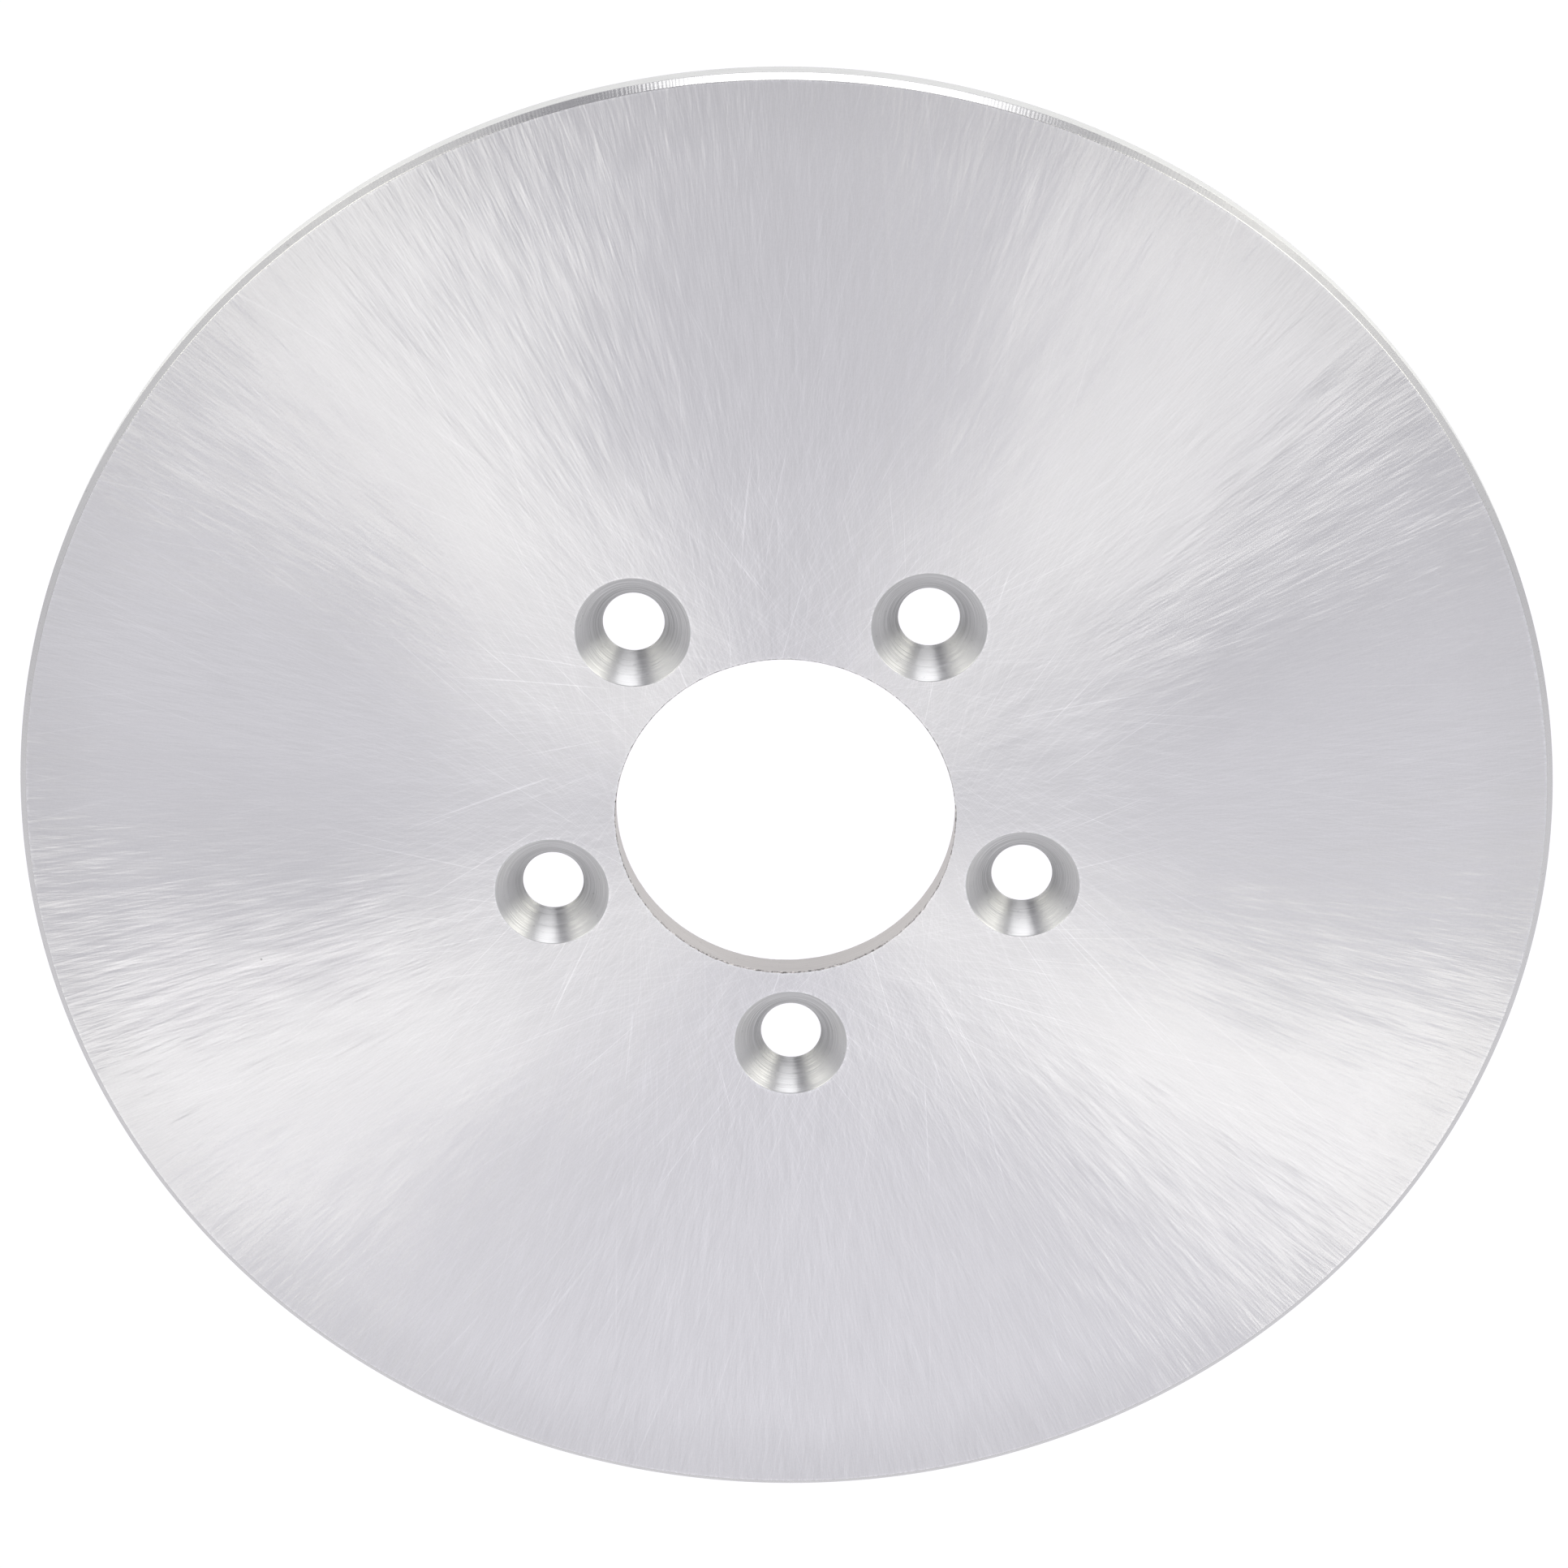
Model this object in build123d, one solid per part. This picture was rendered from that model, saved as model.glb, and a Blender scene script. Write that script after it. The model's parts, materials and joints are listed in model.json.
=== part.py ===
from build123d import *

import os

# A brake disc in one piece: a flat steel ring, ground on both faces, with five countersunk bolt
# holes near its centre. Lengths are in millimetres.
#
# The disc stands on its edge with its axis along Y. The origin is on that axis, in the plane of
# the back face, which seats on the wheel hub. The countersunk front face looks towards -Y, and
# one bolt hole is straight below the centre.

OUTER_DIAMETER = 254.0
THICKNESS = 5.3
PILOT_BORE_DIAMETER = 56.4
RIM_CHAMFER = 1.0  # 45 degrees, on both faces

BOLT_COUNT = 5
BOLT_CIRCLE_DIAMETER = 82.55
BOLT_HOLE_DIAMETER = 10.16
COUNTERSINK_DIAMETER = 18.86
COUNTERSINK_ANGLE = 82.0  # included angle
LOWEST_BOLT_ANGLE = -90.0

# Local X is the disc's X and local Y its Z, so angles run anticlockwise seen from the front.
FRONT_FACE = Plane(origin=(0, -THICKNESS, 0), x_dir=(1, 0, 0), z_dir=(0, -1, 0))
INTO_THE_DISC = (Align.CENTER, Align.CENTER, Align.MAX)


def chamfered_plate():
    """The round plate, with both corners of its rim chamfered."""
    plate = Cylinder(OUTER_DIAMETER / 2, THICKNESS, align=INTO_THE_DISC)
    rim_corners = plate.edges().filter_by(GeomType.CIRCLE)
    return chamfer(rim_corners, RIM_CHAMFER)


def pilot_bore():
    """The cutter for the central hole, which slips over the hub's register."""
    return Cylinder(PILOT_BORE_DIAMETER / 2, THICKNESS, align=INTO_THE_DISC)


def bolt_holes():
    """The cutters for the ring of countersunk bolt holes, one for each screw."""
    hole = CounterSinkHole(
        radius=BOLT_HOLE_DIAMETER / 2,
        counter_sink_radius=COUNTERSINK_DIAMETER / 2,
        depth=THICKNESS,
        counter_sink_angle=COUNTERSINK_ANGLE,
    )
    places = PolarLocations(BOLT_CIRCLE_DIAMETER / 2, BOLT_COUNT, start_angle=LOWEST_BOLT_ANGLE)
    return [place * hole for place in places]


def brake_disc():
    """The finished disc, stood on its edge."""
    disc = chamfered_plate() - pilot_bore() - bolt_holes()
    return FRONT_FACE * disc


os.makedirs("parts", exist_ok=True)
export_step(brake_disc(), "parts/brake_disc.step")
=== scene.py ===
import json
import math
from typing import NamedTuple

import bpy
import numpy as np
from mathutils import Matrix, Vector


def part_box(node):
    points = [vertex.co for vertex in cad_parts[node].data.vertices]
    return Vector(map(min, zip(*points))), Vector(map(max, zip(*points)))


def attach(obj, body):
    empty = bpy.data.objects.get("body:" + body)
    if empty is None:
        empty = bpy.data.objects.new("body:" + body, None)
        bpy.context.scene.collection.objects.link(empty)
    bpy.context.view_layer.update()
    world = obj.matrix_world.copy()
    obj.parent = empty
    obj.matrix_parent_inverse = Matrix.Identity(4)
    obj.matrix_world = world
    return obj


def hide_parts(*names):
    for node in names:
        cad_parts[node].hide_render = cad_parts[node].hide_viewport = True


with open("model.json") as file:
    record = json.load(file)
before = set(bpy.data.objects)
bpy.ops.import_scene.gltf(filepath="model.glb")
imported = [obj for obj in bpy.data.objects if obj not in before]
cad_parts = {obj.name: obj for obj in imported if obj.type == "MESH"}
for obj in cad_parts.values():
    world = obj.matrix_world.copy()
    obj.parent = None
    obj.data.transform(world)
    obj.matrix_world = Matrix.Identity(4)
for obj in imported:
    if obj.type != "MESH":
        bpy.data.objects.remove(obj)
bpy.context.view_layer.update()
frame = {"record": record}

# The looks of the brake disc: one closed skin with deburred edges in place of the plain CAD solid,
# its machined finishes, a white studio and the camera. Lengths are in metres and angles in radians,
# unless a comment says otherwise. The disc's axis is along Y, its countersunk front looks towards
# -Y, and Z is up.

MM = 0.001

# ---------------------------------------------------------------------------------------------
# Sizes, from the frame where it states them
# ---------------------------------------------------------------------------------------------

low_corner, high_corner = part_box("brake_disc")
mounts = {mount["name"]: mount for mount in frame["record"]["mounts"]}
bolts = mounts["hub_bolts"]["dims"]

FRONT_Y = low_corner.y
BACK_Y = high_corner.y
RIM_R = high_corner.x
BORE_R = mounts["hub_pilot"]["dims"]["r_mm"] * MM
BOLT_COUNT = bolts["count"]
BOLT_CIRCLE_R = bolts["pcd_mm"] * MM / 2
BOLT_HOLE_R = bolts["hole_r_mm"] * MM
LOWEST_BOLT_ANGLE = math.radians(-90)

RIM_CHAMFER = 1.0 * MM
COUNTERSINK_R = 9.43 * MM
COUNTERSINK_SLOPE = math.radians(82 / 2)  # from the hole's axis
COUNTERSINK_DEPTH = (COUNTERSINK_R - BOLT_HOLE_R) / math.tan(COUNTERSINK_SLOPE)

EDGE_BREAK = 0.09 * MM  # the small flat that deburring leaves on each corner
BORE_EDGE_WEAR = 0.14 * MM  # how much wider the ragged corners of the bore get
BORE_BREAK_DEPTH = 0.8  # how deep a corner of the bore is broken, as a share of the width

# ---------------------------------------------------------------------------------------------
# The skin
# ---------------------------------------------------------------------------------------------

RIM_STEPS = 480
SECTOR_STEPS = RIM_STEPS // BOLT_COUNT
SIDE_STEPS = 24
HOLE_ZONE_R = 58 * MM  # the holes' sectors end here, and plain rings go on to the rim
HOLE_ZONE_SHARES = (0.0, 0.12, 0.3, 0.6, 1.0)  # rings between a hole and its sector's outline
PLAIN_RINGS = 9
GROUND, TURNED, BEVELLED, BORED, COUNTERSUNK = range(5)
WELD = 1e-7


class Skin:
    """Points, each with its own normal, and quads with a material, welded as they are added."""

    def __init__(self):
        self.points = []
        self.normals = []
        self.quads = []
        self.materials = []
        self.known = {}

    def point(self, place, normal):
        key = tuple(int(round(c / WELD)) for c in place)
        if key not in self.known:
            self.known[key] = len(self.points)
            self.points.append(tuple(place))
            self.normals.append(tuple(normal))
        return self.known[key]

    def rows(self, places, normals, material):
        """Joins each closed row of points to the next one with quads."""
        numbers = [[self.point(p, n) for p, n in zip(*row)] for row in zip(places, normals)]
        for near, far in zip(numbers, numbers[1:]):
            for i in range(len(near)):
                j = (i + 1) % len(near)
                self.quads.append((near[i], near[j], far[j], far[i]))
                self.materials.append(material)

    def mesh(self, name):
        points, normals = np.array(self.points), np.array(self.normals)
        quads = np.array(self.quads)
        corners = points[quads]
        facing = np.cross(corners[:, 2] - corners[:, 0], corners[:, 3] - corners[:, 1])
        inward = (facing * normals[quads].sum(axis=1)).sum(axis=1) < 0
        quads[inward] = quads[inward, ::-1]
        mesh = bpy.data.meshes.new(name)
        mesh.from_pydata(self.points, [], quads.tolist())
        mesh.polygons.foreach_set("material_index", self.materials)
        mesh.polygons.foreach_set("use_smooth", [True] * len(quads))
        mesh.normals_split_custom_set_from_vertices(normals.tolist())
        return mesh


def on_circle(radius, y, angles, centre=(0.0, 0.0)):
    """Points round an axis along Y. The radius may be one number or one for each angle."""
    radius = np.broadcast_to(radius, angles.shape)
    x = centre[0] + radius * np.cos(angles)
    z = centre[1] + radius * np.sin(angles)
    return np.stack([x, np.broadcast_to(y, angles.shape), z], axis=1)


def leaning(outward, along_y, angles):
    """Normals that lean outward from the axis and along Y by those amounts."""
    size = math.hypot(outward, along_y)
    out, along = outward / size, along_y / size
    return np.stack([out * np.cos(angles), np.full(angles.shape, along), out * np.sin(angles)], axis=1)


def lathe(skin, profile, angles, material, centre=(0.0, 0.0)):
    """A turned surface. The profile lists (radius, y, (outward, along_y) of the normal)."""
    places = [on_circle(radius, y, angles, centre) for radius, y, _ in profile]
    normals = [leaning(*normal, angles) for _, _, normal in profile]
    skin.rows(places, normals, material)


def between(start, end, steps):
    """Profile rows along a straight stretch, both ends included."""
    (r0, y0, normal), (r1, y1, _) = start, end
    shares = np.linspace(0, 1, steps + 1)
    return [(r0 + (r1 - r0) * s, y0 + (y1 - y0) * s, normal) for s in shares]


def ragged(count, seed):
    """A closed row of numbers from 0 to 1 that wander, for a corner that was deburred by hand."""
    wander = np.random.default_rng(seed).random(count)
    smooth = (np.roll(wander, 1) + 2 * wander + np.roll(wander, -1)) / 4
    return (smooth - smooth.min()) / (smooth.max() - smooth.min())


rim_angles = LOWEST_BOLT_ANGLE + np.arange(RIM_STEPS) * 2 * math.pi / RIM_STEPS
bore_break = {
    FRONT_Y: EDGE_BREAK + BORE_EDGE_WEAR * ragged(RIM_STEPS, seed=3) ** 2,
    BACK_Y: EDGE_BREAK + BORE_EDGE_WEAR * ragged(RIM_STEPS, seed=8) ** 2,
}


def hole_centre(hole):
    angle = LOWEST_BOLT_ANGLE + hole * 2 * math.pi / BOLT_COUNT
    return BOLT_CIRCLE_R * math.cos(angle), BOLT_CIRCLE_R * math.sin(angle)


def sector_outline(hole, y):
    """The closed outline of one hole's share of a face: bore, side, outer arc, side."""
    steps = np.arange(-SECTOR_STEPS // 2, SECTOR_STEPS // 2 + 1) + hole * SECTOR_STEPS
    arc = LOWEST_BOLT_ANGLE + steps * 2 * math.pi / RIM_STEPS
    bore_radius = BORE_R + bore_break[y][steps % RIM_STEPS]
    inner = on_circle(bore_radius, y, arc)
    outer = on_circle(HOLE_ZONE_R, y, arc)
    shares = np.linspace(0, 1, SIDE_STEPS + 1)[1:-1, None]
    rising = inner[-1] + (outer[-1] - inner[-1]) * shares
    falling = outer[0] + (inner[0] - outer[0]) * shares
    return np.concatenate([inner, rising, outer[::-1], falling])


def hole_angles(hole):
    """The directions in which the hole's centre sees the points of its sector's outline."""
    x, z = hole_centre(hole)
    outline = sector_outline(hole, FRONT_Y)
    return np.arctan2(outline[:, 2] - z, outline[:, 0] - x)


def flat_face(skin, y, outward_y, hole_radius):
    """One flat side of the disc, from the corners of its bore and bolt holes to its rim."""
    for hole in range(BOLT_COUNT):
        outline = sector_outline(hole, y)
        edge = on_circle(hole_radius, y, hole_angles(hole), hole_centre(hole))
        rings = [edge + (outline - edge) * share for share in HOLE_ZONE_SHARES]
        skin.rows(rings, [np.tile((0, outward_y, 0), (len(outline), 1))] * len(rings), GROUND)
    radii = np.linspace(HOLE_ZONE_R, RIM_R - RIM_CHAMFER - EDGE_BREAK, PLAIN_RINGS + 1)
    lathe(skin, [(radius, y, (0, outward_y)) for radius in radii], rim_angles, GROUND)


def rim(skin):
    """Front corner and chamfer, outer land, back chamfer and corner."""
    inset = EDGE_BREAK * math.sqrt(0.5)
    flat_r = RIM_R - RIM_CHAMFER
    front = [
        (flat_r - EDGE_BREAK, FRONT_Y, (0, -1)),
        *between(
            (flat_r + inset, FRONT_Y + inset, (1, -1)),
            (RIM_R - inset, FRONT_Y + RIM_CHAMFER - inset, (1, -1)),
            steps=2,
        ),
        (RIM_R, FRONT_Y + RIM_CHAMFER + EDGE_BREAK, (1, 0)),
    ]
    middle = FRONT_Y + BACK_Y
    back = [(radius, middle - y, (out, -along)) for radius, y, (out, along) in reversed(front)]
    lathe(skin, front, rim_angles, BEVELLED)
    lathe(skin, [front[-1], back[0]], rim_angles, TURNED)
    lathe(skin, back, rim_angles, BEVELLED)


def bore_wall(skin):
    """The central hole, with the worn corners that its two faces share."""
    front, back = bore_break[FRONT_Y], bore_break[BACK_Y]
    corner = [
        (BORE_R + front, FRONT_Y, (0, -1)),
        (BORE_R, FRONT_Y + front * BORE_BREAK_DEPTH, (-1, 0)),
        (BORE_R, (FRONT_Y + BACK_Y) / 2, (-1, 0)),
        (BORE_R, BACK_Y - back * BORE_BREAK_DEPTH, (-1, 0)),
        (BORE_R + back, BACK_Y, (0, 1)),
    ]
    lathe(skin, corner, rim_angles, BORED)


def countersink_profile():
    """Mouth corner, cone, throat corner, the short straight land and the back corner."""
    along_r = EDGE_BREAK * math.sin(COUNTERSINK_SLOPE)
    along_y = EDGE_BREAK * math.cos(COUNTERSINK_SLOPE)
    cone_normal = (-math.cos(COUNTERSINK_SLOPE), -math.sin(COUNTERSINK_SLOPE))
    throat_y = FRONT_Y + COUNTERSINK_DEPTH
    half_break = EDGE_BREAK / 2
    return [
        (COUNTERSINK_R + EDGE_BREAK, FRONT_Y, (0, -1)),
        *between(
            (COUNTERSINK_R - along_r, FRONT_Y + along_y, cone_normal),
            (BOLT_HOLE_R + along_r / 2, throat_y - along_y / 2, cone_normal),
            steps=10,
        ),
        (BOLT_HOLE_R, throat_y + half_break, (-1, 0)),
        (BOLT_HOLE_R, BACK_Y - EDGE_BREAK, (-1, 0)),
        (BOLT_HOLE_R + EDGE_BREAK, BACK_Y, (0, 1)),
    ]


def disc_skin():
    skin = Skin()
    flat_face(skin, FRONT_Y, -1, COUNTERSINK_R + EDGE_BREAK)
    flat_face(skin, BACK_Y, 1, BOLT_HOLE_R + EDGE_BREAK)
    rim(skin)
    bore_wall(skin)
    for hole in range(BOLT_COUNT):
        lathe(skin, countersink_profile(), hole_angles(hole), COUNTERSUNK, hole_centre(hole))
    return skin.mesh("machined_disc")


# ---------------------------------------------------------------------------------------------
# Finishes
# ---------------------------------------------------------------------------------------------


class Graph:
    """Writes a shader as sums: each call adds nodes and gives back what comes out of them."""

    def __init__(self, tree):
        self.tree = tree

    def node(self, kind, inputs=None, **settings):
        node = self.tree.nodes.new("ShaderNode" + kind)
        for name, value in settings.items():
            setattr(node, name, value)
        for key, value in (inputs or {}).items():
            if isinstance(value, bpy.types.NodeSocket):
                self.tree.links.new(value, node.inputs[key])
            else:
                node.inputs[key].default_value = value
        return node

    def math(self, operation, *values):
        return self.node("Math", dict(enumerate(values)), operation=operation).outputs[0]

    def add(self, a, b):
        return self.math("ADD", a, b)

    def times(self, a, b):
        return self.math("MULTIPLY", a, b)

    def rest(self, share):
        """What is left of 1."""
        return self.math("SUBTRACT", 1.0, share)

    def total(self, start, features, weights):
        """The start and each weighted feature, added up."""
        for name, weight in weights.items():
            start = self.add(start, self.times(features[name], weight))
        return start

    def vector(self, operation, *values):
        return self.node("VectorMath", dict(enumerate(values)), operation=operation).outputs[0]

    def length(self, vector):
        return self.node("VectorMath", {0: vector}, operation="LENGTH").outputs["Value"]

    def scaled(self, vector, size):
        node = self.node("VectorMath", {0: vector, "Scale": size}, operation="SCALE")
        return node.outputs[0]

    def combine(self, x, y, z):
        return self.node("CombineXYZ", {0: x, 1: y, 2: z}).outputs[0]

    def split(self, vector):
        return self.node("SeparateXYZ", {0: vector}).outputs

    def turned(self, vector, angle):
        """The vector turned about Y."""
        node = self.node("VectorRotate", {"Vector": vector, "Angle": angle}, rotation_type="Y_AXIS")
        return node.outputs[0]

    def noise(self, vector, scale=1.0, detail=0.0):
        """Smooth noise, moved to be about zero."""
        inputs = {"Vector": vector, "Scale": scale, "Detail": detail, "Roughness": 0.5}
        return self.add(self.node("TexNoise", inputs).outputs[0], -0.5)

    def ramp(self, value, low, high):
        """0 up to low, 1 from high, smooth between."""
        inputs = {"Value": value, "From Min": low, "From Max": high}
        return self.node("MapRange", inputs, interpolation_type="SMOOTHSTEP").outputs[0]

    def mix(self, share, a, b):
        """Two numbers mixed."""
        return self.node("Mix", {0: share, 2: a, 3: b}).outputs[0]

    def mix_colours(self, share, a, b):
        return self.node("Mix", {0: share, 6: a, 7: b}, data_type="RGBA").outputs[2]

    def world_vector(self, vector):
        node = self.node(
            "VectorTransform",
            {"Vector": vector},
            vector_type="VECTOR",
            convert_from="OBJECT",
            convert_to="WORLD",
        )
        return node.outputs[0]


class DiscGraph(Graph):
    """A graph that knows where each point is on the disc."""

    def __init__(self, tree):
        super().__init__(tree)
        self.place = self.node("TexCoord").outputs["Object"]
        self.flat = self.vector("MULTIPLY", self.place, (1, 0, 1))
        self.outward = self.vector("NORMALIZE", self.flat)
        self.across = self.vector("CROSS_PRODUCT", (0, 1, 0), self.outward)


def steel(name, colour, roughness, anisotropy):
    """A bare steel material and its shader node."""
    material = bpy.data.materials.new(name)
    material.use_nodes = True
    shader = material.node_tree.nodes["Principled BSDF"]
    shader.inputs["Base Color"].default_value = (*colour, 1)
    shader.inputs["Metallic"].default_value = 1.0
    shader.inputs["Roughness"].default_value = roughness
    shader.inputs["Anisotropic"].default_value = anisotropy
    return material, shader


def finish(graph, shader, tangent, tilt, brightness, roughness):
    """Joins a surface's scratch direction, bumps, colour changes and roughness to its shader."""
    links = graph.tree.links
    normal = graph.node("NewGeometry").outputs["Normal"]
    bumpy = graph.vector("NORMALIZE", graph.vector("ADD", normal, graph.world_vector(tilt)))
    colour = tuple(shader.inputs["Base Color"].default_value)[:3]
    links.new(graph.world_vector(tangent), shader.inputs["Tangent"])
    links.new(bumpy, shader.inputs["Normal"])
    links.new(graph.scaled(colour, brightness), shader.inputs["Base Color"])
    links.new(roughness, shader.inputs["Roughness"])


# ---------------------------------------------------------------------------------------------
# Ground faces
# ---------------------------------------------------------------------------------------------


class Scratches(NamedTuple):
    """One kind of scratch, over both faces. Its path misses the disc's centre by the offset, and
    turns by the curl for each metre away from it."""

    offset: float
    curl: float
    width: float
    length: float
    seed: float
    slant: float = 0.0  # how much of its slant shows in the reflections


RAYS = Scratches(0.0, 0.0, 4.0 * MM, 80 * MM, seed=3.0)
LINES = Scratches(0.0, 0.4, 0.5 * MM, 32 * MM, seed=7.0)
SWIRLS = (
    Scratches(0.0, 1.3, 0.40 * MM, 10 * MM, seed=11.0, slant=0.14),
    Scratches(0.0, -1.5, 0.36 * MM, 8 * MM, seed=23.0, slant=0.14),
)
HAIRS = (
    Scratches(0.0, 0.6, 0.22 * MM, 11 * MM, seed=37.0),
    Scratches(0.0, -0.7, 0.20 * MM, 7 * MM, seed=41.0),
)
CROSSING = (
    Scratches(13 * MM, 0.0, 0.22 * MM, 9 * MM, seed=53.0, slant=0.15),
    Scratches(-14 * MM, 0.0, 0.22 * MM, 10 * MM, seed=61.0, slant=0.15),
    Scratches(26 * MM, 0.0, 0.22 * MM, 12 * MM, seed=71.0, slant=0.10),
    Scratches(-25 * MM, 0.0, 0.22 * MM, 10 * MM, seed=83.0, slant=0.10),
)
SCORES = (
    Scratches(21 * MM, 0.0, 0.30 * MM, 45 * MM, seed=97.0),
    Scratches(-19 * MM, 1.0, 0.28 * MM, 35 * MM, seed=103.0),
    Scratches(6 * MM, -1.6, 0.28 * MM, 40 * MM, seed=109.0),
)

# From what height of its noise a scratch begins to show, and where it shows in full
SWIRLS_SHOW = (0.0, 0.2)
CROSSING_SHOWS = (0.08, 0.18)
SCORES_SHOW = (0.27, 0.34)

# Radii between which a change across the face happens
INNER_ZONE = (42 * MM, 85 * MM)
OUTER_ZONE = (90 * MM, 125 * MM)
SCUFFED_ZONE = (110 * MM, 126 * MM)
LEAST_CROWDING = 0.35  # the crossing scratches at the rim, as a share of those at the bore

# Noises that aren't drawn out along scratches, in waves to a metre
PATCH_SCALE = 45.0
WANDER_SCALE = 36.0
WANDER_START = (7, 3, 9)
GRIT_SCALE = 2600.0
NICK_SCALE = 2400.0
MUDDLE_SCALE = 30000.0
FACES_APART = 1500.0  # keeps the two faces from having the same scratches

PIT_CELL = 17 * MM  # at most one pit to a cell
UNPITTED = 0.6  # the share of cells without one
PIT_EDGE = (0.008, 0.016)  # in cells from the pit's centre

WEAR_EDGE = (0.1 * MM, 0.6 * MM)  # worn in full up to the first distance from an edge
WEAR_WANDER = 0.8 * MM

GROUND_COLOUR = (0.70, 0.6965, 0.714)
GROUND_ROUGHNESS = 0.485
GROUND_ANISOTROPY = 0.93

# How much each feature changes the brightness, the roughness, the scratches' slant and the normal
GROUND_BRIGHTNESS = {
    "hairs": 0.085,
    "grit": 0.05,
    "inner": 0.08,
    "swirls": 0.03,
    "lines": 0.035,
    "crossing": 0.045,
    "patch": 0.03,
    "scores": 0.16,
    "wear": 0.03,
    "nicks": 0.5,
    "pits": -0.4,
}
GROUND_ROUGHENING = {"inner": 0.07, "scuffed": 0.05, "swirls": 0.05, "patch": 0.03, "wear": -0.04}
GROUND_SLANT = {
    "rays": 0.11,
    "lines": 0.11,
    "outer_lines": 0.09,
    "hairs": 0.30,
    "outer_hairs": 0.13,
    "muddle": 2.4,
    "wander": 0.20,
}
HAIR_TILT = 0.06


class GroundGraph(DiscGraph):
    """A graph of a ground face. Its scratches are as wide near the bore as at the rim, so their
    number doubles with the radius: each streak noise mixes one of that number and one of twice it."""

    def __init__(self, tree):
        super().__init__(tree)
        self.radius = self.length(self.flat)
        self.face_start = self.times(self.split(self.place)[1], FACES_APART)
        doublings = self.math("LOGARITHM", self.times(self.radius, 1 / MM), 2.0)
        self.fewer = self.math("POWER", 2.0, self.math("FLOOR", doublings))
        self.more = self.times(self.fewer, 2.0)
        self.share = self.math("FRACT", doublings)
        squares = self.add(
            self.math("POWER", self.share, 2.0),
            self.math("POWER", self.rest(self.share), 2.0),
        )
        self.gain = self.math("INVERSE_SQRT", squares)

    def swing_and_bend(self, kind):
        """How far a path turns about the centre by this radius, from its offset and its curl."""
        swing = 0.0
        if kind.offset:
            swing = self.math("ARCSINE", self.math("DIVIDE", kind.offset, self.radius))
        return swing, self.times(self.radius, kind.curl)

    def streaks(self, kind):
        """Noise drawn out along the paths."""
        swing, bend = self.swing_and_bend(kind)
        along = self.add(self.times(self.radius, 1 / kind.length), kind.seed)
        start = self.combine(0.0, self.add(along, self.face_start), 0.0)
        direction = self.turned(self.outward, self.add(swing, bend))
        layers = []
        for number in (self.fewer, self.more):
            spread = self.times(number, MM / kind.width)
            layers.append(self.noise(self.vector("MULTIPLY_ADD", direction, spread, start)))
        return self.times(self.gain, self.mix(self.share, *layers))

    def slant(self, kind, amount):
        """The slant from the radius that so much of this kind of scratch gives the reflections."""
        swing, bend = self.swing_and_bend(kind)
        own_slant = self.math("SUBTRACT", bend, swing)
        return self.times(self.times(own_slant, kind.slant), amount)

    def sum(self, values):
        total = 0.0
        for value in values:
            total = self.add(total, value)
        return total


def pits(graph):
    cells = graph.node("TexVoronoi", {"Vector": graph.place, "Scale": 1 / PIT_CELL})
    pitted = graph.math("GREATER_THAN", graph.split(cells.outputs["Color"])[0], UNPITTED)
    return graph.times(pitted, graph.rest(graph.ramp(cells.outputs["Distance"], *PIT_EDGE)))


def worn_edges(graph, patch):
    """1 along the rim, the bore and the mouths of the bolt holes, 0 elsewhere."""
    on_back = graph.math("GREATER_THAN", graph.split(graph.place)[1], (FRONT_Y + BACK_Y) / 2)
    mouth_r = graph.mix(on_back, COUNTERSINK_R, BOLT_HOLE_R)
    to_rim = graph.math("SUBTRACT", RIM_R - RIM_CHAMFER, graph.radius)
    to_bore = graph.math("SUBTRACT", graph.radius, BORE_R)
    nearest = graph.math("MINIMUM", to_rim, to_bore)
    for hole in range(BOLT_COUNT):
        x, z = hole_centre(hole)
        from_hole = graph.length(graph.vector("SUBTRACT", graph.flat, (x, 0, z)))
        nearest = graph.math("MINIMUM", nearest, graph.math("SUBTRACT", from_hole, mouth_r))
    nearest = graph.add(nearest, graph.times(patch, WEAR_WANDER))
    return graph.rest(graph.ramp(nearest, *WEAR_EDGE))


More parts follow.
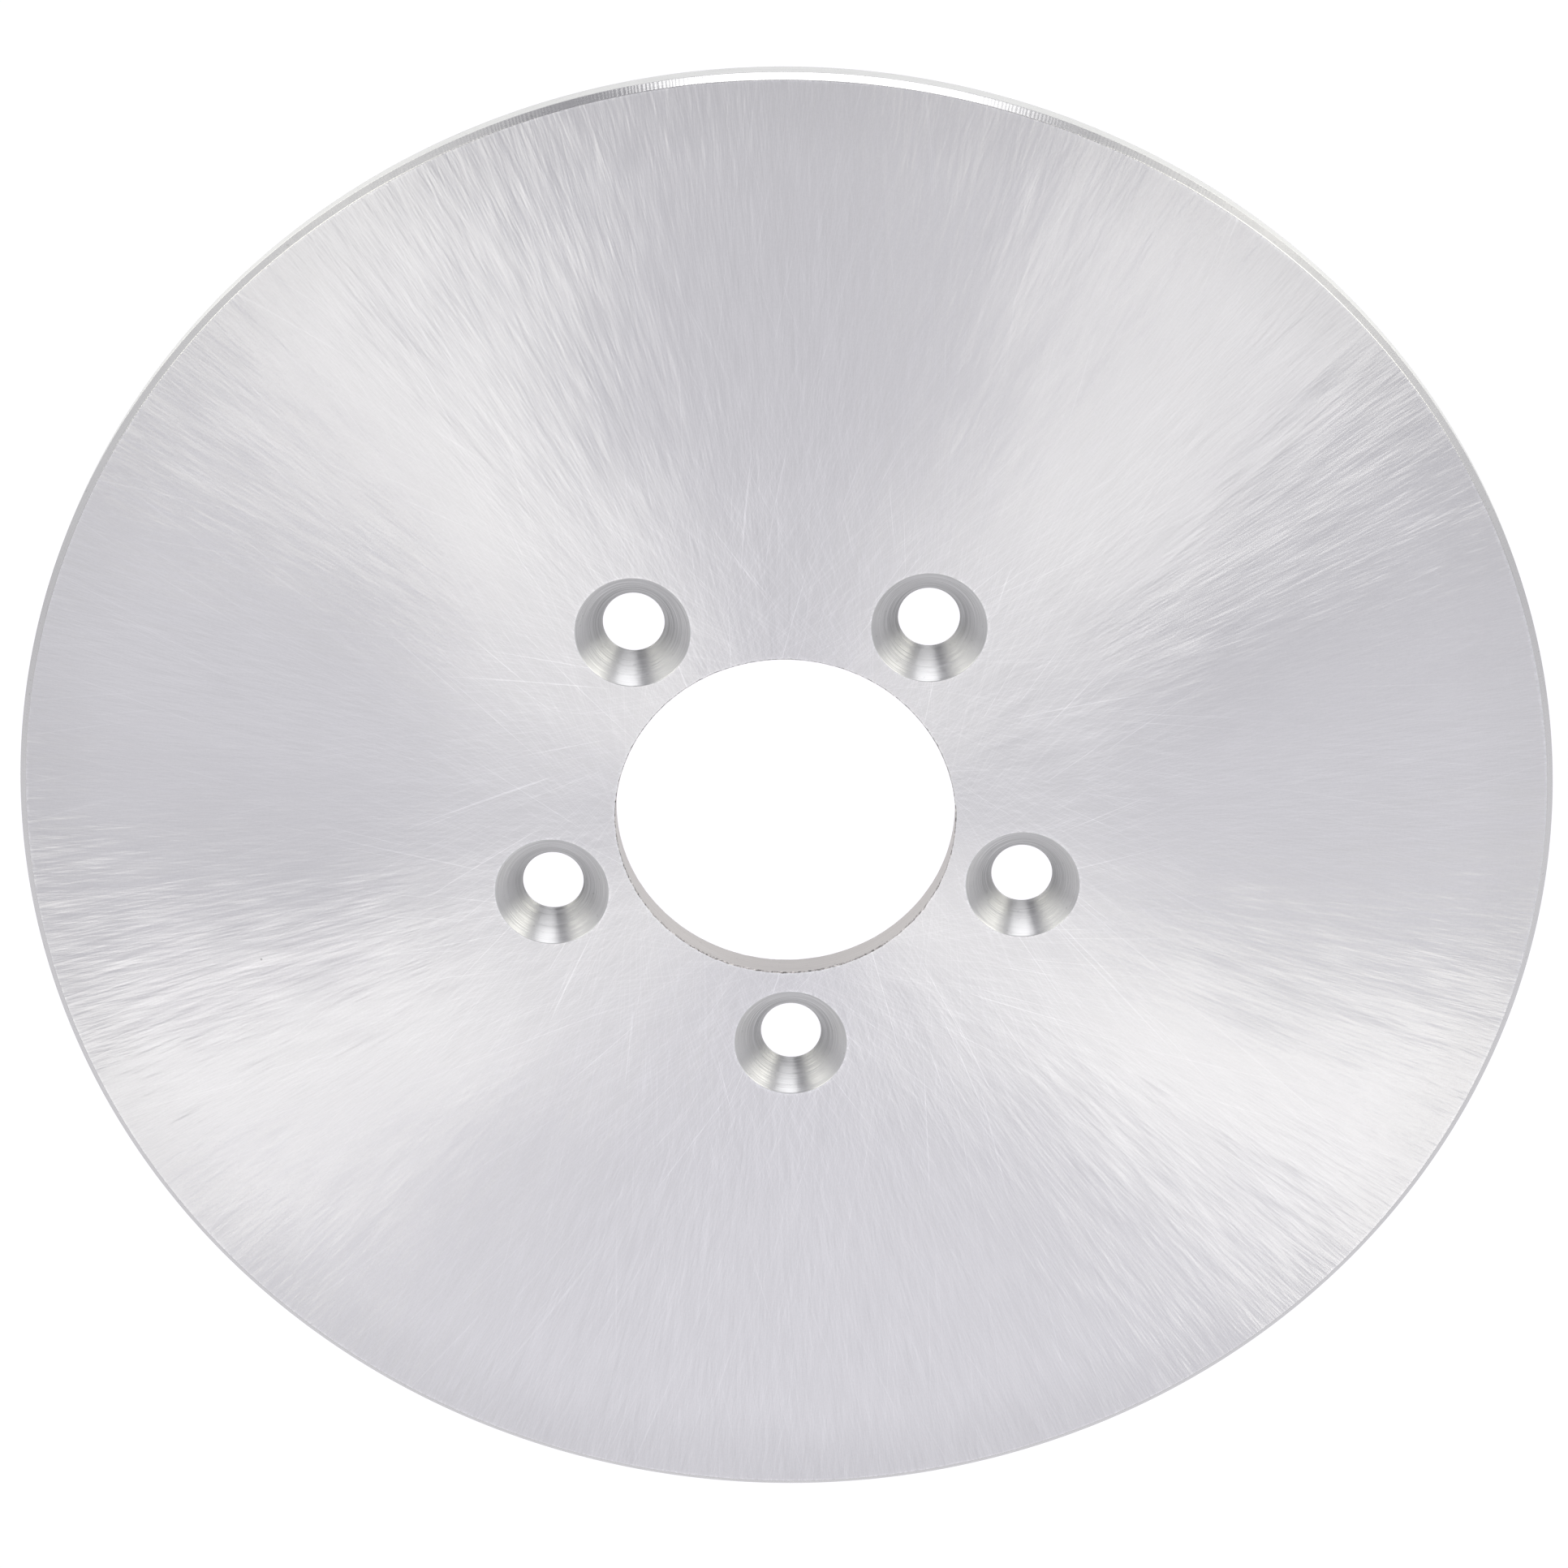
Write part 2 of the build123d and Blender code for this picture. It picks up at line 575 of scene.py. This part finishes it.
def ground_steel():
    material, shader = steel("ground_steel", GROUND_COLOUR, GROUND_ROUGHNESS, GROUND_ANISOTROPY)
    graph = GroundGraph(material.node_tree)
    inner = graph.rest(graph.ramp(graph.radius, *INNER_ZONE))
    outer = graph.ramp(graph.radius, *OUTER_ZONE)
    crowding = graph.add(LEAST_CROWDING, graph.times(inner, 1 - LEAST_CROWDING))
    patch = graph.noise(graph.place, PATCH_SCALE, detail=1.0)
    wander_place = graph.vector("ADD", graph.scaled(graph.place, WANDER_SCALE), WANDER_START)
    wear = worn_edges(graph, patch)
    lines = graph.streaks(LINES)
    hairs = graph.sum(graph.streaks(kind) for kind in HAIRS)
    swirls = [graph.streaks(kind) for kind in SWIRLS]
    swirl_marks = [graph.ramp(swirl, *SWIRLS_SHOW) for swirl in swirls]
    crossing = [
        graph.times(graph.ramp(graph.streaks(kind), *CROSSING_SHOWS), crowding) for kind in CROSSING
    ]
    scores = graph.sum(graph.ramp(graph.streaks(kind), *SCORES_SHOW) for kind in SCORES)
    features = {
        "rays": graph.streaks(RAYS),
        "lines": lines,
        "outer_lines": graph.times(lines, outer),
        "swirls": graph.sum(swirls),
        "hairs": hairs,
        "outer_hairs": graph.times(hairs, outer),
        "crossing": graph.sum(crossing),
        "scores": graph.times(scores, crowding),
        "inner": inner,
        "scuffed": graph.ramp(graph.radius, *SCUFFED_ZONE),
        "patch": patch,
        "wander": graph.noise(wander_place, detail=2.0),
        "muddle": graph.times(graph.noise(graph.place, MUDDLE_SCALE), inner),
        "grit": graph.noise(graph.place, GRIT_SCALE),
        "pits": pits(graph),
        "wear": wear,
        "nicks": graph.times(wear, graph.noise(graph.place, NICK_SCALE, detail=2.0)),
    }
    slant = graph.sum(map(graph.slant, SWIRLS + CROSSING, swirl_marks + crossing))
    slant = graph.total(slant, features, GROUND_SLANT)
    finish(
        graph,
        shader,
        tangent=graph.vector("ADD", graph.across, graph.scaled(graph.outward, slant)),
        tilt=graph.scaled(graph.across, graph.times(hairs, HAIR_TILT)),
        brightness=graph.total(1.0, features, GROUND_BRIGHTNESS),
        roughness=graph.total(GROUND_ROUGHNESS, features, GROUND_ROUGHENING),
    )
    return material


# ---------------------------------------------------------------------------------------------
# Turned, chamfered, bored and countersunk surfaces
# ---------------------------------------------------------------------------------------------


class Turning(NamedTuple):
    """Steel off a lathe or a cutter, with rings round Y."""

    name: str
    colour: tuple
    roughness: float
    anisotropy: float
    pitch: float
    ring_contrast: float
    ring_depth: float
    chatter: float = 0.0  # how many chatter marks cross the rings, all the way round
    chatter_depth: float = 0.0
    painted_shade: float = 0.0  # painted shade: how much darker the colour gets down a countersink, towards its throat
    burr: float = 0.0  # how much the brightness changes along its front corner


TURNED_RIM = Turning(
    "turned_rim", (0.585, 0.589, 0.582), 0.68, 0.0, pitch=0.5 * MM, ring_contrast=0.12, ring_depth=0.3,
    chatter=800.0, chatter_depth=0.01,
)
CUT_CHAMFERS = Turning(
    "cut_chamfers", (0.515, 0.513, 0.51), 0.27, 0.85, pitch=0.4 * MM, ring_contrast=0.1, ring_depth=0.2,
    chatter=1330.0, chatter_depth=0.023,
)
BORED_WALL = Turning(
    "bored_wall", (0.47, 0.454, 0.45), 0.72, 0.0, pitch=0.4 * MM, ring_contrast=0.12, ring_depth=0.2,
    burr=3.0,
)
# The countersinks' colour is set darker than the ground faces' to stand in for the shade in the cones'
# hollows, which is painted shade; it is painted darker still towards each throat.
COUNTERSUNK_HOLES = Turning(
    "countersunk_holes", (0.53, 0.53, 0.532), 0.36, 0.85, pitch=0.34 * MM, ring_contrast=0.5,
    ring_depth=0.9, painted_shade=0.28,
)

RING_WANDER = 90.0  # how fast a ring changes on its way round, in waves to a metre
WAVES_TO_A_PITCH = 2  # one for a ring's ridge and one for its groove
CHATTER_SLIP = 9.0  # how far the marks wander from an even pitch
SLIP_WAVES = 60.0
STAIN_SCALE = 400.0
STAIN_CONTRAST = 0.06
SPECK_SCALE = 1900.0
SPECK_HEIGHT = 0.3
SPECK_CONTRAST = -0.12
PAINTED_SHADE_START = 0.5 * MM  # where the painted shade in a countersink begins, below the front face
BURR_DEPTH = (0.2 * MM, 0.55 * MM)
BURR_BIAS = -0.05  # a burred corner has a little more dark than bright


def ring_brightness(graph, turning, rings, stain):
    specks = graph.math("GREATER_THAN", graph.noise(graph.place, SPECK_SCALE), SPECK_HEIGHT)
    features = {"rings": rings, "stain": stain, "specks": specks}
    weights = {"rings": turning.ring_contrast, "stain": STAIN_CONTRAST, "specks": SPECK_CONTRAST}
    depth = graph.add(graph.split(graph.place)[1], -FRONT_Y)
    # Painted shade: the colour darkens from just below the front face down to the bottom of a
    # countersink.
    if turning.painted_shade:
        features["deep"] = graph.ramp(depth, PAINTED_SHADE_START, COUNTERSINK_DEPTH)
        weights["deep"] = -turning.painted_shade
    if turning.burr:
        nicks = graph.add(graph.noise(graph.place, NICK_SCALE, detail=2.0), BURR_BIAS)
        features["burr"] = graph.times(graph.rest(graph.ramp(depth, *BURR_DEPTH)), nicks)
        weights["burr"] = turning.burr
    return graph.total(1.0, features, weights)


def chatter_marks(graph, turning):
    x, _, z = graph.split(graph.place)
    slip = graph.times(graph.noise(graph.outward, SLIP_WAVES), CHATTER_SLIP)
    turns = graph.times(graph.math("ARCTAN2", z, x), turning.chatter)
    return graph.math("SINE", graph.add(turns, slip))


def turned_steel(turning):
    material, shader = steel(turning.name, turning.colour, turning.roughness, turning.anisotropy)
    graph = DiscGraph(material.node_tree)
    ring_scale = (RING_WANDER, WAVES_TO_A_PITCH / turning.pitch, RING_WANDER)
    rings = graph.noise(graph.vector("MULTIPLY", graph.place, ring_scale), detail=1.0)
    stain = graph.noise(graph.place, STAIN_SCALE, detail=2.0)
    tilt = graph.combine(0.0, graph.times(rings, turning.ring_depth), 0.0)
    if turning.chatter:
        marks = graph.times(chatter_marks(graph, turning), turning.chatter_depth)
        tilt = graph.vector("ADD", tilt, graph.scaled(graph.across, marks))
    finish(
        graph,
        shader,
        tangent=graph.combine(0.0, 1.0, 0.0),
        tilt=tilt,
        brightness=ring_brightness(graph, turning, rings, stain),
        roughness=graph.add(turning.roughness, graph.times(stain, STAIN_CONTRAST)),
    )
    return material


# ---------------------------------------------------------------------------------------------
# The piece
# ---------------------------------------------------------------------------------------------

disc = bpy.data.objects.new("machined_disc", disc_skin())
bpy.context.scene.collection.objects.link(disc)
disc.data.materials.append(ground_steel())
for turning in (TURNED_RIM, CUT_CHAMFERS, BORED_WALL, COUNTERSUNK_HOLES):
    disc.data.materials.append(turned_steel(turning))
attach(disc, "root")
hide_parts("brake_disc")

# ---------------------------------------------------------------------------------------------
# Studio: brightnesses are relative to a white wall
# ---------------------------------------------------------------------------------------------

BACKDROP_WHITE = 1.03  # what the camera sees behind the disc, whatever the disc reflects
ROOM_COLOUR = (1.0, 0.99, 1.03, 1)
LAMP_COLOUR = (1.0, 0.988, 0.875)  # a little warmer than the room

FLOOR_HALF = 8.0
FLOOR_GLOW = 1.142  # close to the disc
FLOOR_GLOW_ZONE = (0.15, 1.1)
FRONT_DIMMING = 0.80  # the floor and the room in front are dimmer
FLOOR_FRONT_ZONE = (0.15, 0.9)

# Zones of the sky, as ranges of one coordinate of a direction whose length is 1
CEILING_HEIGHT = (0.18, 0.5)  # z
CEILING_MIDDLE_X = 0.03
CEILING_HALF_WIDTH = (0.42, 0.52)  # x, to either side of the middle
BEHIND_ZONE = (0.0, 0.4)  # y
AHEAD_ZONE = (0.2, 0.8)  # -y
BEHIND_EXTRA = 0.15  # how much brighter the sky is behind the disc
HORIZON_COLOUR = (1.0, 0.995, 1.03, 1)
CEILING_COLOUR = (0.55, 0.545, 0.59, 1)


def studio_floor():
    z = low_corner.z
    corners = [(x * FLOOR_HALF, y * FLOOR_HALF, z) for x, y in ((-1, -1), (1, -1), (1, 1), (-1, 1))]
    mesh = bpy.data.meshes.new("studio_floor")
    mesh.from_pydata(corners, [], [(0, 1, 2, 3)])
    floor = bpy.data.objects.new("studio_floor", mesh)
    bpy.context.scene.collection.objects.link(floor)
    material = bpy.data.materials.new("studio_white")
    material.use_nodes = True
    material.node_tree.nodes.remove(material.node_tree.nodes["Principled BSDF"])
    graph = Graph(material.node_tree)
    place = graph.node("TexCoord").outputs["Object"]
    away = graph.length(graph.vector("MULTIPLY", place, (1, 1, 0)))
    ahead = graph.times(graph.split(place)[1], -1.0)
    strength = graph.times(
        graph.mix(graph.ramp(away, *FLOOR_GLOW_ZONE), FLOOR_GLOW, 1.0),
        graph.mix(graph.ramp(ahead, *FLOOR_FRONT_ZONE), 1.0, FRONT_DIMMING),
    )
    seen = graph.node("LightPath").outputs["Is Camera Ray"]
    strength = graph.mix(seen, strength, BACKDROP_WHITE)
    glow = graph.node("Emission", {"Color": ROOM_COLOUR, "Strength": strength})
    output = material.node_tree.nodes["Material Output"]
    graph.tree.links.new(glow.outputs[0], output.inputs["Surface"])
    mesh.materials.append(material)


def sky():
    """White to above the horizon, with a dimmer ceiling over the disc and in front of it."""
    world = bpy.data.worlds.new("studio_sky")
    bpy.context.scene.world = world
    world.use_nodes = True
    graph = Graph(world.node_tree)
    x, y, z = graph.split(graph.node("TexCoord").outputs["Generated"])
    aside = graph.math("ABSOLUTE", graph.add(x, -CEILING_MIDDLE_X))
    behind = graph.ramp(y, *BEHIND_ZONE)
    ahead = graph.ramp(graph.times(y, -1.0), *AHEAD_ZONE)
    overhead = graph.times(
        graph.ramp(z, *CEILING_HEIGHT),
        graph.rest(graph.ramp(aside, *CEILING_HALF_WIDTH)),
    )
    ceiling = graph.times(overhead, graph.rest(behind))
    colour = graph.mix_colours(ceiling, HORIZON_COLOUR, CEILING_COLOUR)
    strength = graph.add(graph.mix(ahead, 1.0, FRONT_DIMMING), graph.times(behind, BEHIND_EXTRA))
    seen = graph.node("LightPath").outputs["Is Camera Ray"]
    inputs = world.node_tree.nodes["Background"].inputs
    white = (BACKDROP_WHITE, BACKDROP_WHITE, BACKDROP_WHITE, 1)
    graph.tree.links.new(graph.mix_colours(seen, colour, white), inputs["Color"])
    graph.tree.links.new(graph.mix(seen, strength, 1.0), inputs["Strength"])


def bearing(azimuth, elevation):
    """A direction from the disc, in degrees to the right of -Y and above the horizon."""
    azimuth, elevation = math.radians(azimuth), math.radians(elevation)
    level = math.cos(elevation)
    return Vector((math.sin(azimuth) * level, -math.cos(azimuth) * level, math.sin(elevation)))


class Softbox(NamedTuple):
    """An oblong lamp that looks at the disc."""

    name: str
    direction: Vector
    distance: float
    size: tuple
    radiance: float
    colour: tuple = LAMP_COLOUR


SIDE_LAMP_DISTANCE = 1.6
SOFTBOXES = (
    Softbox("front_left", bearing(-37.5, 20.5), SIDE_LAMP_DISTANCE, (0.59, 0.97), 3.5),
    Softbox("front_right", bearing(42.9, 21.0), SIDE_LAMP_DISTANCE, (0.78, 0.97), 3.75),
    Softbox("back_left", bearing(-140, 21), SIDE_LAMP_DISTANCE, (0.6, 0.97), 2.0),
    Softbox("back_right", bearing(140, 21), SIDE_LAMP_DISTANCE, (0.6, 0.97), 2.0),
    Softbox("overhead", Vector((0.10, -0.25, 0.96)), 0.9, (0.52, 0.6), 2.9, colour=(1, 1, 1)),
)


def hang(softbox):
    width, height = softbox.size
    data = bpy.data.lights.new(softbox.name, "AREA")
    data.shape = "RECTANGLE"
    data.size = width
    data.size_y = height
    data.color = softbox.colour
    data.energy = softbox.radiance * math.pi * width * height
    lamp = bpy.data.objects.new(softbox.name, data)
    bpy.context.scene.collection.objects.link(lamp)
    away = softbox.direction.normalized()
    lamp.location = away * softbox.distance
    lamp.rotation_euler = away.to_track_quat("Z", "Y").to_euler()
    lamp.visible_camera = False


studio_floor()
sky()
for softbox in SOFTBOXES:
    hang(softbox)

# ---------------------------------------------------------------------------------------------
# Camera
# ---------------------------------------------------------------------------------------------

CAMERA_AZIMUTH = 1.21  # degrees
CAMERA_ELEVATION = 22.80  # degrees
CAMERA_ROLL = math.radians(-1.366)
CAMERA_DISTANCE = 0.9119
CAMERA_AIM = Vector((-0.0002, 0.0, 0.0039))
LENS_MM = 125.8
SENSOR_MM = 36

camera_data = bpy.data.cameras.new("camera")
camera_data.lens = LENS_MM
camera_data.sensor_width = SENSOR_MM
camera_data.clip_end = 30
camera = bpy.data.objects.new("camera", camera_data)
bpy.context.scene.collection.objects.link(camera)
backwards = bearing(CAMERA_AZIMUTH, CAMERA_ELEVATION)
camera.matrix_world = (
    Matrix.Translation(CAMERA_AIM + backwards * CAMERA_DISTANCE)
    @ backwards.to_track_quat("Z", "Y").to_matrix().to_4x4()
    @ Matrix.Rotation(CAMERA_ROLL, 4, "Z")
)
bpy.context.scene.camera = camera
bpy.context.scene.view_settings.view_transform = "Standard"
